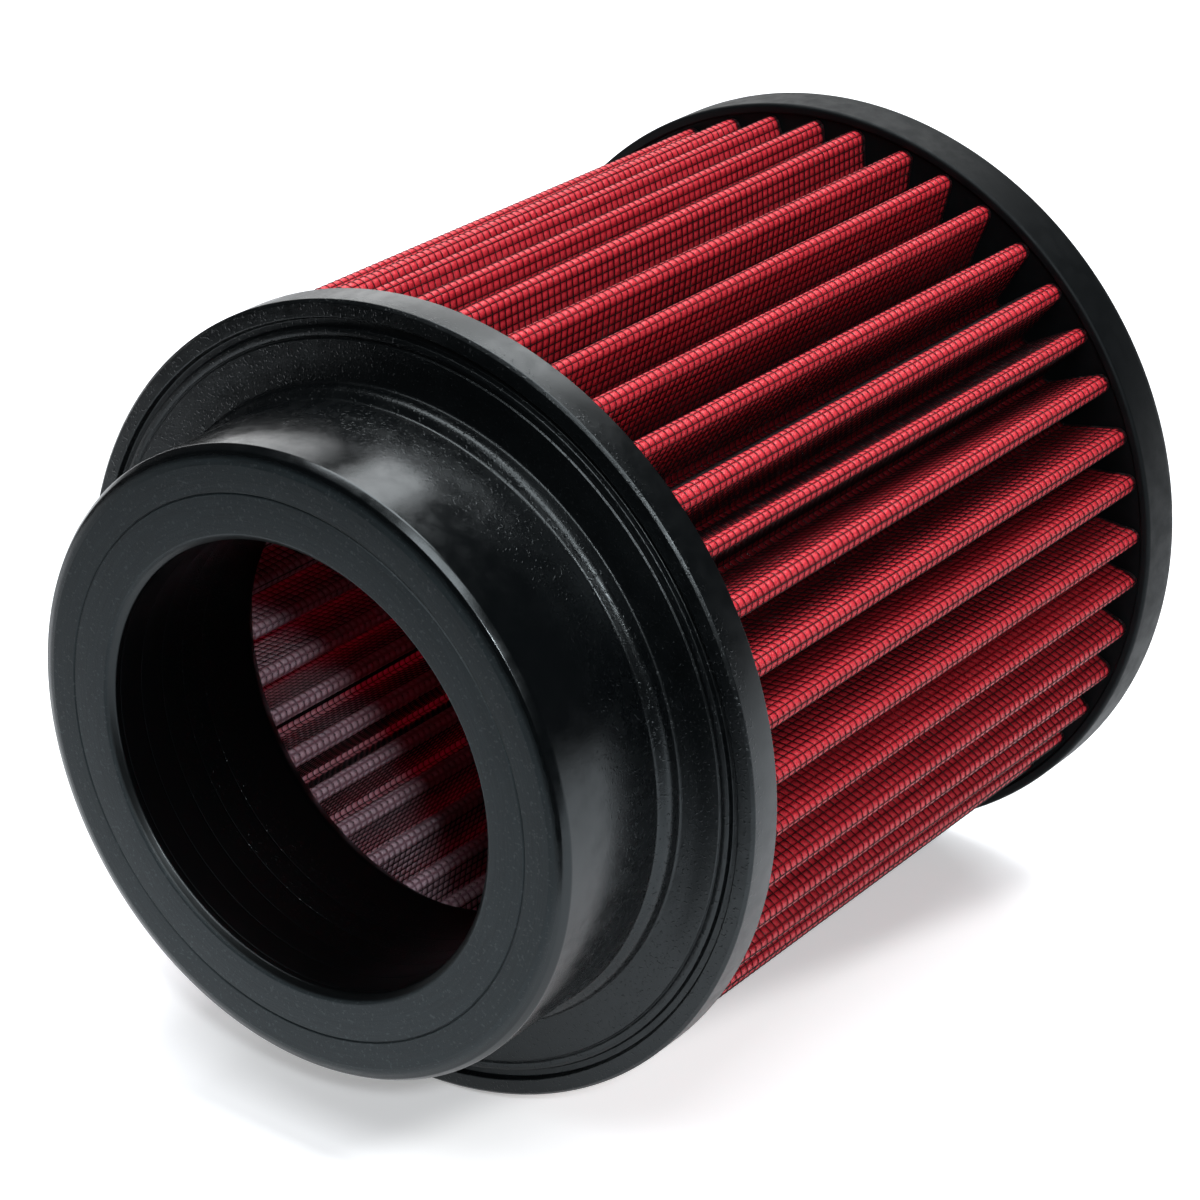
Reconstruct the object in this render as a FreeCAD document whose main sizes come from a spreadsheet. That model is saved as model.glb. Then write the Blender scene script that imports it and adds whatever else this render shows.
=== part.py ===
"""Clamp-on round air filter: a pleated cylinder of oiled gauze between two wire screens.

The pleats are potted between a closed end cap and an outlet neck, both moulded in soft
polyurethane. The filter stands on its end cap: +Z runs along the axis to the neck's mouth,
the origin is the centre of the cap's outer face, and one pleat crest lies on +X.
All sizes are in millimetres.
"""
import FreeCAD, Part
import math
import os

import Sketcher

# Driving dimensions: alias, value, what it is
SIZES = (
    ("pleat_count", 45, "pleats around the cylinder"),
    ("pleat_length", 115.4, "height of the pleats between their two seats"),
    ("crest_radius", 67.7, "axis to the round of a crest"),
    ("pleat_depth", 13.4, "round of a crest to the innermost face of an inner fold"),
    ("crest_gap", 0.5, "space between the two leaves inside a crest"),
    ("fold_gap", 1.1, "space between the two leaves inside an inner fold"),
    ("media_thickness", 0.7, "gauze between the screens"),
    ("screen_thickness", 0.3, "each wire screen"),
    ("cap_floor", 9.8, "outer face of the cap to the seat of the pleats"),
    ("cap_rounding", 3.0, "rounded outer edge of the cap"),
    ("rim_height", 1.0, "rim of the cap around the pleat ends"),
    ("rim_wall", 1.8, "thickness of that rim"),
    ("rim_clearance", 0.1, "crests to the inside of that rim"),
    ("band_overhang", 0.7, "flange band beyond the crests"),
    ("band_height", 6.5, "seat of the pleats to the flange face"),
    ("band_chamfer", 1.3, "bevelled front edge of the band"),
    ("groove_inset", 3.8, "outside of the band to the middle of the ring groove in the flange face"),
    ("groove_width", 1.4, "width of that groove"),
    ("groove_depth", 1.1, "depth of that groove"),
    ("neck_wall", 15.4, "bore to the outside of the neck, where a clamp sits"),
    ("neck_length", 27.3, "flange face to the mouth"),
    ("lip_rounding", 2.8, "rounded front edge of the neck"),
    ("boss_width", 1.7, "raised ring at the foot of the neck"),
    ("boss_height", 1.4, "height of that ring over the flange face"),
    ("foot_length", 2.4, "bevel from the neck down to the ring"),
    ("bore_radius", 38.1, "bore that takes the intake pipe"),
    ("mouth_chamfer", 1.3, "bevelled mouth of the bore"),
    ("collar_depth", 4.2, "collar that stands inside the pleats"),
    ("collar_clearance", 0.3, "inner folds to the collar"),
    ("flare_rise", 3.2, "widening of the bore at its inner end"),
    ("flare_length", 4.0, "length of that widening"),
)

# Flat facets that round each crest, each inner fold and each rounded edge
CREST_FACETS = 2
FOLD_FACETS = 1
EDGE_FACETS = 3

# How far the ridge between two facets can stand out of a crest's round, in half crest widths
RIDGE_RISE = 1 / math.cos(math.pi / 6) - 1

# Widths, heights and radii that follow from the driving dimensions
STACK = "(Sizes.media_thickness + 2 * Sizes.screen_thickness)"
HALF_CREST = f"(Sizes.crest_gap / 2 + {STACK})"
HALF_FOLD = f"(Sizes.fold_gap / 2 + {STACK})"
RIDGE_RADIUS = f"Sizes.crest_radius + {HALF_CREST} * {RIDGE_RISE}"
FOLD_INSIDE = "Sizes.crest_radius - Sizes.pleat_depth"
RIM_INSIDE = f"{RIDGE_RADIUS} + Sizes.rim_clearance"
CAP_RADIUS = f"{RIM_INSIDE} + Sizes.rim_wall"
CAP_RIM = "Sizes.cap_floor + Sizes.rim_height"
PLEAT_TOP = "Sizes.cap_floor + Sizes.pleat_length"
BAND_RADIUS = f"{RIDGE_RADIUS} + Sizes.band_overhang"
GROOVE_RADIUS = f"{BAND_RADIUS} - Sizes.groove_inset"
FLANGE_FACE = f"{PLEAT_TOP} + Sizes.band_height"
NECK_RADIUS = "Sizes.bore_radius + Sizes.neck_wall"
BOSS_RADIUS = f"{NECK_RADIUS} + Sizes.boss_width"
BOSS_TOP = f"{FLANGE_FACE} + Sizes.boss_height"
MOUTH = f"{FLANGE_FACE} + Sizes.neck_length"
COLLAR_RADIUS = f"{FOLD_INSIDE} - Sizes.collar_clearance"
COLLAR_END = f"{PLEAT_TOP} - Sizes.collar_depth"
ZERO = "0"

# Sketcher's own geometry: the origin point
ORIGIN = (-1, 1)


def rounded_edge(radius, height, rounding, inward):
    """Corners of a rounded outer edge, from its end face to its side.

    inward is the sign of the height from the end face into the solid.
    """
    corners = []
    for step in range(EDGE_FACETS + 1):
        angle = math.pi / 2 * step / EDGE_FACETS
        short = 1 - math.sin(angle)
        down = 1 - math.cos(angle)
        corners.append((f"{radius} - {rounding} * {short}", f"{height} {inward} {rounding} * {down}"))
    return corners


# Half section of the outlet neck: the radius and height of each corner, from the bore round to the collar
NECK_PROFILE = [
    ("Sizes.bore_radius + Sizes.flare_rise", COLLAR_END),
    ("Sizes.bore_radius", f"{COLLAR_END} + Sizes.flare_length"),
    ("Sizes.bore_radius", f"{MOUTH} - Sizes.mouth_chamfer"),
    ("Sizes.bore_radius + Sizes.mouth_chamfer", MOUTH),
    *rounded_edge(NECK_RADIUS, MOUTH, "Sizes.lip_rounding", "-"),
    (NECK_RADIUS, f"{BOSS_TOP} + Sizes.foot_length"),
    (BOSS_RADIUS, BOSS_TOP),
    (BOSS_RADIUS, FLANGE_FACE),
    (f"{GROOVE_RADIUS} - Sizes.groove_width / 2", FLANGE_FACE),
    (GROOVE_RADIUS, f"{FLANGE_FACE} - Sizes.groove_depth"),
    (f"{GROOVE_RADIUS} + Sizes.groove_width / 2", FLANGE_FACE),
    (f"{BAND_RADIUS} - Sizes.band_chamfer", FLANGE_FACE),
    (BAND_RADIUS, f"{FLANGE_FACE} - Sizes.band_chamfer"),
    (BAND_RADIUS, PLEAT_TOP),
    (COLLAR_RADIUS, PLEAT_TOP),
    (COLLAR_RADIUS, COLLAR_END),
]

# Half section of the end cap, from its outer face round to the seat of the pleats
CAP_PROFILE = [
    (ZERO, ZERO),
    *rounded_edge(CAP_RADIUS, ZERO, "Sizes.cap_rounding", "+"),
    (CAP_RADIUS, CAP_RIM),
    (RIM_INSIDE, CAP_RIM),
    (RIM_INSIDE, "Sizes.cap_floor"),
    (ZERO, "Sizes.cap_floor"),
]

doc = FreeCAD.newDocument("air_filter")


def make_sheet():
    """The spreadsheet of driving dimensions, one aliased cell a row."""
    sheet = doc.addObject("Spreadsheet::Sheet", "Sizes")
    for row, (alias, value, meaning) in enumerate(SIZES, start=1):
        sheet.set(f"A{row}", meaning)
        sheet.set(f"B{row}", str(value))
        sheet.setAlias(f"B{row}", alias)
    doc.recompute()
    return sheet


sheet = make_sheet()


def size(expression):
    """Value of a cell, or of an expression of cells."""
    return float(sheet.evalExpression(expression))


def polar(radius, angle):
    """Point of the XY plane at a radius and an angle in radians."""
    return FreeCAD.Vector(radius * math.cos(angle), radius * math.sin(angle), 0)


def bind_corner(sketch, segment, radius, height):
    """Hold the start of a segment at a radius and a height of the sheet."""
    for kind, expression in (("DistanceX", radius), ("DistanceY", height)):
        index = sketch.addConstraint(Sketcher.Constraint(kind, *ORIGIN, segment, 1, size(expression)))
        sketch.setExpression(f"Constraints[{index}]", expression)


def profile_sketch(body, name, profile):
    """Closed half section on the body's XZ plane, with every corner bound to the sheet."""
    sketch = body.newObject("Sketcher::SketchObject", name)
    plane = next(f for f in body.Origin.OriginFeatures if f.Role == "XZ_Plane")
    sketch.AttachmentSupport = [(plane, "")]
    sketch.MapMode = "FlatFace"
    points = [FreeCAD.Vector(size(radius), size(height), 0) for radius, height in profile]
    for start, end in zip(points, points[1:] + points[:1]):
        sketch.addGeometry(Part.LineSegment(start, end))
    for index, (radius, height) in enumerate(profile):
        before = (index - 1) % len(profile)
        sketch.addConstraint(Sketcher.Constraint("Coincident", before, 2, index, 1))
        bind_corner(sketch, index, radius, height)
    return sketch


def moulded_ring(label, profile):
    """Sub-part moulded as one piece: its half section turned about the axis."""
    body = doc.addObject("PartDesign::Body", label)
    sketch = profile_sketch(body, f"{label}_section", profile)
    turned = body.newObject("PartDesign::Revolution", f"{label}_turned")
    turned.Profile = sketch
    turned.ReferenceAxis = (sketch, ["V_Axis"])
    turned.Angle = 360
    body.Tip = turned
    return body


def fold_corners(centre, facing, spread, radius, facets):
    """Corners of one fold: flat facets around a circle, from one flank to the next.

    facing is the direction that the fold points in, and spread the angle from it to the
    normal of each flank.
    """
    turn = 2 * spread / (facets + 1)
    reach = radius / math.cos(turn / 2)
    first = facing - spread + turn / 2
    return [centre + polar(reach, first + turn * step) for step in range(facets + 1)]


def pleated_outline(offset):
    """Closed pleated line at an offset from the middle of the stack, outwards positive."""
    count = round(size("Sizes.pleat_count"))
    half_pitch = math.pi / count
    half_stack = size(STACK) / 2
    half_crest = size(HALF_CREST)
    half_fold = size(HALF_FOLD)
    crest_centre = size("Sizes.crest_radius") - half_crest
    fold_centre = size(FOLD_INSIDE) + half_fold
    # The flank is the line that crosses between the circles of a crest and an inner fold
    across = polar(fold_centre, half_pitch) - polar(crest_centre, 0)
    crossing = math.acos((half_crest + half_fold - 2 * half_stack) / across.Length)
    crest_spread = math.atan2(across.y, across.x) - crossing
    fold_spread = crest_spread - half_pitch
    crest = (crest_centre, half_crest - half_stack + offset, CREST_FACETS)
    fold = (fold_centre, half_fold - half_stack - offset, FOLD_FACETS)
    corners = []
    for pleat in range(count):
        angle = 2 * half_pitch * pleat
        centre, radius, facets = crest
        corners += fold_corners(polar(centre, angle), angle, crest_spread, radius, facets)
        angle += half_pitch
        centre, radius, facets = fold
        inward = fold_corners(polar(centre, angle), angle + math.pi, fold_spread, radius, facets)
        corners += reversed(inward)
    return Part.makePolygon(corners + corners[:1])


def pleated_layer(label, inside, outside):
    """Sub-part folded from one sheet, between two offsets from the middle of the stack."""
    outline = doc.addObject("Part::Feature", f"{label}_outline")
    edges = [pleated_outline(outside), pleated_outline(inside)]
    outline.Shape = Part.makeFace(edges, "Part::FaceMakerBullseye")
    layer = doc.addObject("Part::Extrusion", label)
    layer.Base = outline
    layer.DirMode = "Custom"
    layer.Dir = FreeCAD.Vector(0, 0, 1)
    layer.Solid = True
    layer.setExpression("LengthFwd", "Sizes.pleat_length")
    layer.setExpression("Placement.Base.z", "Sizes.cap_floor")
    return layer


def build():
    """All sub-parts, each an object of the document."""
    media_face = size("Sizes.media_thickness / 2")
    screen_face = media_face + size("Sizes.screen_thickness")
    return [
        moulded_ring("end_cap", CAP_PROFILE),
        pleated_layer("inner_screen", -screen_face, -media_face),
        pleated_layer("filter_media", -media_face, media_face),
        pleated_layer("outer_screen", media_face, screen_face),
        moulded_ring("outlet_neck", NECK_PROFILE),
    ]


def check(parts):
    """Stop where an object failed or a sub-part isn't one sound solid."""
    for item in doc.Objects:
        if {"Invalid", "Error"} & set(item.State):
            raise RuntimeError(f"{item.Label} failed: {item.State}")
    for part in parts:
        if part.Shape.isNull() or not part.Shape.isValid() or len(part.Shape.Solids) != 1:
            raise RuntimeError(f"{part.Label} is not one valid solid")


def export(parts):
    """Write each sub-part to a file named by its label."""
    os.makedirs("parts", exist_ok=True)
    for part in parts:
        part.Shape.exportStep(f"parts/{part.Label}.step")


parts = build()
doc.recompute()
check(parts)
export(parts)
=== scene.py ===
"""Clamp-on pleated air filter: mouldings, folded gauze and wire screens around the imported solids.

The filter stands on its end cap, with +Z along its axis to the neck's mouth. Sizes are in
millimetres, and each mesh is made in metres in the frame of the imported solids.
"""

import logging
import math
from dataclasses import dataclass
from enum import Enum
from typing import Any, NamedTuple, Sequence

import bmesh
import bpy
from bpy.types import Material, Mesh, Node, NodeSocket, NodeTree, Object
from mathutils import Matrix, Vector

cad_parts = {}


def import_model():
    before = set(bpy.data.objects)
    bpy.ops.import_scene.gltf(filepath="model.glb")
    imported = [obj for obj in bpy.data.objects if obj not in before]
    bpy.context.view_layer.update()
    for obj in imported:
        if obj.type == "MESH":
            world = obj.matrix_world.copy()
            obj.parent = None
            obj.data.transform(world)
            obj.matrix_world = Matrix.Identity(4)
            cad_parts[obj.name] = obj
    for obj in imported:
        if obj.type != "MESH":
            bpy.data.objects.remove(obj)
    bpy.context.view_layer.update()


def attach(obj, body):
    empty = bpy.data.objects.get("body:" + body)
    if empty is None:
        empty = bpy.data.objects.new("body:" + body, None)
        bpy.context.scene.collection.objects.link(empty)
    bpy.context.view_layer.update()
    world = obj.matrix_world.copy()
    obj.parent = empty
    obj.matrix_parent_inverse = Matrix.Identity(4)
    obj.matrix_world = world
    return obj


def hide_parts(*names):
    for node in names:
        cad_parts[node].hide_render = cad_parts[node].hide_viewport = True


LOG = logging.getLogger("air_filter")

MM = 0.001
BODY = "root"
SPACING = ("Spread", "Lean", "Middle", "Length")
LAMP_TARGET = (0.0, 0.0, 0.09)
JOIN_GAP = 0.004
WIRE_SIDES = 3

Colour = tuple[float, float, float, float]
Triple = tuple[float, float, float]
Corner = Triple
Point = tuple[float, float]


class Slot(Enum):
    """Material slots of the record."""

    MOULDING = "moulding"
    GAUZE = "gauze"
    WIRE = "wire"


class Side(Enum):
    """Face of the folded gauze that a screen lies on."""

    OUTER = 1
    INNER = -1


def tint(red: float, green: float, blue: float) -> Colour:
    """Colour socket value for linear red, green and blue."""
    return (red, green, blue, 1.0)


class Graph:
    """Adds linked nodes to one node tree."""

    def __init__(self, tree: NodeTree) -> None:
        """Keep the tree that the nodes go into."""
        self.tree = tree

    def feed(self, socket: NodeSocket, value: Any) -> None:
        """Link a socket to an input, or set the input's own value.

        Args:
            socket: Input that takes the value.
            value: Socket to link, constant to set, or None to leave the input alone.
        """
        if isinstance(value, NodeSocket):
            self.tree.links.new(value, socket)
        elif value is not None:
            socket.default_value = value

    def add(
        self, kind: str, *values: Any, named: dict[str, Any] | None = None, **settings: Any
    ) -> Node:
        """Add a node.

        Args:
            kind: Type of the node.
            values: Value for each input, in the node's own order.
            named: Values for inputs by name.
            settings: Properties to set before the inputs are fed.

        Returns:
            The new node.
        """
        node = self.tree.nodes.new(kind)
        for name, setting in settings.items():
            setattr(node, name, setting)
        for socket, value in zip(node.inputs, values):
            self.feed(socket, value)
        for name, value in (named or {}).items():
            self.feed(node.inputs[name], value)
        return node

    def math(self, operation: str, *values: Any) -> NodeSocket:
        """Result of a Math node."""
        return self.add("ShaderNodeMath", *values, operation=operation).outputs[0]

    def times(self, first: Any, second: Any) -> NodeSocket:
        """Product of two values."""
        return self.math("MULTIPLY", first, second)

    def step(self, value: Any, low: float, high: float, start: float = 0.0, end: float = 1.0) -> NodeSocket:
        """Smooth step of a value from start at low to end at high."""
        ends = (value, low, high, start, end)
        return self.add("ShaderNodeMapRange", *ends, interpolation_type="SMOOTHSTEP").outputs[0]

    def between(self, factor: Any, first: Any, second: Any) -> NodeSocket:
        """Value mixed from two values."""
        return self.add("ShaderNodeMix", factor, None, first, second).outputs[0]

    def blend(self, factor: Any, first: Any, second: Any) -> NodeSocket:
        """Colour mixed from two colours.

        Args:
            factor: Share of the second colour.
            first: Colour or socket.
            second: Colour or socket.

        Returns:
            The mixed colour.
        """
        node = self.add("ShaderNodeMix", factor, data_type="RGBA")
        self.feed(node.inputs[6], first)
        self.feed(node.inputs[7], second)
        return node.outputs[2]

    def noise(self, place: Any, scale: Any, detail: float = 2.0, rough: float = 0.5) -> NodeSocket:
        """Value of a 3-D noise at a place."""
        inputs = {"Vector": place, "Scale": scale, "Detail": detail, "Roughness": rough}
        return self.add("ShaderNodeTexNoise", named=inputs).outputs[0]

    def group(self, tree: NodeTree, **inputs: Any) -> Node:
        """Place a node group, with its inputs fed by name."""
        kind = "ShaderNodeGroup" if tree.bl_idname == "ShaderNodeTree" else "GeometryNodeGroup"
        return self.add(kind, node_tree=tree, named=inputs)

    def shape(self, kind: str, *values: Any, **inputs: Any) -> NodeSocket:
        """First output of a geometry node, with inputs fed in order or by name (underscores for spaces)."""
        named = {name.replace("_", " "): value for name, value in inputs.items()}
        return self.add(f"GeometryNode{kind}", *values, named=named).outputs[0]

    def show(self, shader: Node) -> None:
        """Show a shader as the material's surface."""
        self.add("ShaderNodeOutputMaterial", shader.outputs[0])


def new_group(
    name: str, kind: str, inputs: dict[str, Any], outputs: dict[str, str]
) -> tuple[Graph, Node, Node]:
    """Make a node group with named sockets.

    Args:
        name: Name of the group.
        kind: ShaderNodeTree or GeometryNodeTree.
        inputs: Kind of each input's socket, or a number for a float input with that default.
        outputs: Kind of each output's socket.

    Returns:
        The group's graph, its input node and its output node.
    """
    tree = bpy.data.node_groups.new(name, kind)
    for label, given in inputs.items():
        named = given if isinstance(given, str) else "Float"
        socket = tree.interface.new_socket(label, in_out="INPUT", socket_type=f"NodeSocket{named}")
        if not isinstance(given, str):
            socket.default_value = given
    for label, given in outputs.items():
        tree.interface.new_socket(label, in_out="OUTPUT", socket_type=f"NodeSocket{given}")
    graph = Graph(tree)
    return graph, graph.add("NodeGroupInput"), graph.add("NodeGroupOutput")


class Effects:
    """Shader groups that more than one finish uses."""

    def __init__(self) -> None:
        """Build each group once."""
        self.turned = self._turned()
        self.grain = self._grain()
        self.clouds = self._clouds()

    @staticmethod
    def _turned() -> NodeTree:
        """Find where a point of a turned piece lies.

        Returns:
            The group: radius, height and a place that is stretched along the rings.
        """
        outputs = {"Radius": "Float", "Height": "Float", "Ring": "Vector"}
        graph, _, out = new_group("Turned place", "ShaderNodeTree", {}, outputs)
        place = graph.add("ShaderNodeTexCoord").outputs["Object"]
        x, y, z = graph.add("ShaderNodeSeparateXYZ", place).outputs
        square = graph.math("ADD", graph.times(x, x), graph.times(y, y))
        radius = graph.math("SQRT", square)
        stretch = 2 * MM
        across = graph.times(graph.math("DIVIDE", x, radius), stretch)
        along = graph.times(graph.math("DIVIDE", y, radius), stretch)
        ring = graph.add("ShaderNodeCombineXYZ", graph.math("ADD", radius, z), across, along)
        graph.feed(out.inputs["Radius"], radius)
        graph.feed(out.inputs["Height"], z)
        graph.feed(out.inputs["Ring"], ring.outputs[0])
        return graph.tree

    @staticmethod
    def _grain() -> NodeTree:
        """Make the fine pebbled grain that a mould leaves.

        Returns:
            The group: height of the grain, and the specks that stand out of it.
        """
        outputs = {"Height": "Float", "Specks": "Float"}
        graph, given, out = new_group("Mould grain", "ShaderNodeTree", {"Scale": 3000.0}, outputs)
        place = graph.add("ShaderNodeTexCoord").outputs["Object"]
        fine = graph.noise(place, given.outputs["Scale"], 2.0, 0.6)
        sparse = graph.noise(place, graph.times(given.outputs["Scale"], 0.4), 1.0)
        graph.feed(out.inputs["Height"], fine)
        graph.feed(out.inputs["Specks"], graph.step(sparse, 0.6, 0.74))
        return graph.tree

    @staticmethod
    def _clouds() -> NodeTree:
        """Make soft uneven patches, such as smears of release agent, dust or oil.

        Returns:
            The group: a mask from 0 at Low to 1 at High.
        """
        inputs = {"Scale": 60.0, "Low": 0.35, "High": 0.65}
        graph, given, out = new_group("Uneven patches", "ShaderNodeTree", inputs, {"Mask": "Float"})
        place = graph.add("ShaderNodeTexCoord").outputs["Object"]
        value = graph.noise(place, given.outputs["Scale"], 4.0, 0.6)
        span = graph.add("ShaderNodeMapRange", value, given.outputs["Low"], given.outputs["High"])
        graph.feed(out.inputs["Mask"], span.outputs[0])
        return graph.tree


def new_material(name: str) -> tuple[Material, Graph, Node]:
    """Make a material with one Principled shader.

    Args:
        name: Name of the material.

    Returns:
        The material, its graph and its shader, which is not shown yet.
    """
    material = bpy.data.materials.new(name)
    material.use_nodes = True
    material.node_tree.nodes.clear()
    graph = Graph(material.node_tree)
    return material, graph, graph.add("ShaderNodeBsdfPrincipled")


class Layers(NamedTuple):
    """Layers of a moulding's finish that vary over its surface."""

    colour: NodeSocket
    roughness: NodeSocket
    relief: NodeSocket


@dataclass(frozen=True)
class MouldingFinish:
    """Soft black polyurethane, with the mould's grain between two heights in millimetres."""

    name: str
    side: Colour = tint(0.0010, 0.0014, 0.0017)
    bloom: Colour = tint(0.0018, 0.0024, 0.0029)
    bloom_share: float = 0.5
    sheen_tint: Colour = tint(0.84, 0.95, 1.0)
    gleam: float = 0.16
    rough_low: float = 0.5
    rough_high: float = 0.62
    grain_from: float = -20.0
    grain_to: float = 6.0
    grain_rise: float = 4.0
    grain_fall: float = 9.0
    grain_scale: float = 4600.0
    grain_depth: float = 0.12
    grain_strength: float = 0.55
    wave_depth: float = 0.05

    def material(self, effects: Effects) -> Material:
        """Build the material.

        Args:
            effects: Shared shader groups.

        Returns:
            The material.
        """
        material, graph, shader = new_material(self.name)
        shader.inputs["Specular Tint"].default_value = self.sheen_tint
        shader.inputs["Specular IOR Level"].default_value = self.gleam
        place = graph.group(effects.turned).outputs
        grain = graph.group(effects.grain, Scale=self.grain_scale).outputs
        colour, roughness, relief = self.layers(graph, effects, place, grain)
        graph.feed(shader.inputs["Base Color"], colour)
        graph.feed(shader.inputs["Roughness"], roughness)
        bump = {"Strength": self.grain_strength, "Distance": self.grain_depth * MM, "Height": relief}
        graph.feed(shader.inputs["Normal"], graph.add("ShaderNodeBump", named=bump).outputs[0])
        graph.show(shader)
        return material

    def layers(self, graph: Graph, effects: Effects, place: Any, grain: Any) -> Layers:
        """Lay out the moulded side.

        Args:
            graph: Graph of the material.
            effects: Shared shader groups.
            place: Outputs of the turned place.
            grain: Outputs of the mould grain.

        Returns:
            The varying layers.
        """
        wide = graph.group(effects.clouds, Scale=18.0, Low=0.3, High=0.7).outputs["Mask"]
        smears = graph.group(effects.clouds, Scale=300.0, Low=0.3, High=0.75).outputs["Mask"]
        waves = graph.group(effects.clouds, Scale=130.0, Low=0.0, High=1.0).outputs["Mask"]
        colour = graph.blend(graph.times(wide, self.bloom_share), self.side, self.bloom)
        roughness = graph.step(smears, 0.0, 1.0, self.rough_low, self.rough_high)
        rise = graph.step(place["Height"], self.grain_from * MM, (self.grain_from + self.grain_rise) * MM)
        fall = graph.step(place["Height"], self.grain_to * MM, (self.grain_to - self.grain_fall) * MM)
        zone = graph.times(rise, fall)
        pebble_depth = graph.math("MULTIPLY_ADD", zone, 0.35, 0.05)
        speck_depth = graph.math("MULTIPLY_ADD", zone, 0.75, 0.04)
        specks = graph.times(grain["Specks"], speck_depth)
        relief = graph.math("MULTIPLY_ADD", grain["Height"], pebble_depth, specks)
        relief = graph.math("MULTIPLY_ADD", waves, self.wave_depth / self.grain_depth, relief)
        return Layers(colour, roughness, relief)


@dataclass(frozen=True)
class NeckFinish(MouldingFinish):
    """Polyurethane of the neck: glossy side, hazy foot, painted shade in the bore and a mouth that was
    trimmed matt.
    """

    gleam: float = 0.38
    rough_low: float = 0.17
    rough_high: float = 0.27
    grain_from: float = 128.0
    grain_to: float = 150.0
    trimmed: Colour = tint(0.0064, 0.0106, 0.0126)
    trimmed_inside: Colour = tint(0.0084, 0.0130, 0.0154)
    dust: Colour = tint(0.045, 0.054, 0.060)
    trim_height: float = 159.0
    trim_line: float = 46.0
    trim_rough: float = 0.58
    # painted shade: the bore wall is coloured darker than the side, as shade inside the bore
    bore: Colour = tint(0.0006, 0.0008, 0.0010)
    bore_shade_edge: float = 40.5
    bore_rough: float = 0.32
    haze: float = 0.06
    foot_haze: Point = (149.0, 140.0)
    flange_haze: Point = (133.0, 132.0)

    def layers(self, graph: Graph, effects: Effects, place: Any, grain: Any) -> Layers:
        """Lay the haze, the bore's painted shade and the trimmed mouth over the moulded side.

        Args:
            graph: Graph of the material.
            effects: Shared shader groups.
            place: Outputs of the turned place.
            grain: Outputs of the mould grain.

        Returns:
            The varying layers.
        """
        side = super().layers(graph, effects, place, grain)
        radius, height = place["Radius"], place["Height"]
        trimmed = graph.step(height, (self.trim_height - 0.6) * MM, (self.trim_height - 0.15) * MM)
        inside = graph.step(radius, (self.trim_line + 0.3) * MM, (self.trim_line - 0.3) * MM)
        # mask of the painted shade on the bore wall
        within = graph.step(radius, (self.bore_shade_edge + 1.5) * MM, self.bore_shade_edge * MM)
        marks = graph.noise(place["Ring"], 2600.0, 3.0, 0.65)
        face = graph.blend(inside, self.trimmed, self.trimmed_inside)
        face = graph.blend(graph.step(marks, 0.35, 0.7, 0.0, 0.5), face, self.bloom)
        face = graph.blend(graph.times(grain["Specks"], 0.45), face, self.dust)
        colour = graph.blend(trimmed, graph.blend(within, side.colour, self.bore), face)
        rough = side.roughness
        for high, low in (self.foot_haze, self.flange_haze):
            rough = graph.math("ADD", rough, graph.step(height, high * MM, low * MM, 0.0, self.haze))
        rough = graph.between(within, rough, self.bore_rough)
        scuffs = graph.math("MULTIPLY_ADD", grain["Height"], 0.6, graph.times(marks, 0.5))
        relief = graph.math("MULTIPLY_ADD", scuffs, trimmed, side.relief)
        return Layers(colour, graph.between(trimmed, rough, self.trim_rough), relief)


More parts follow.
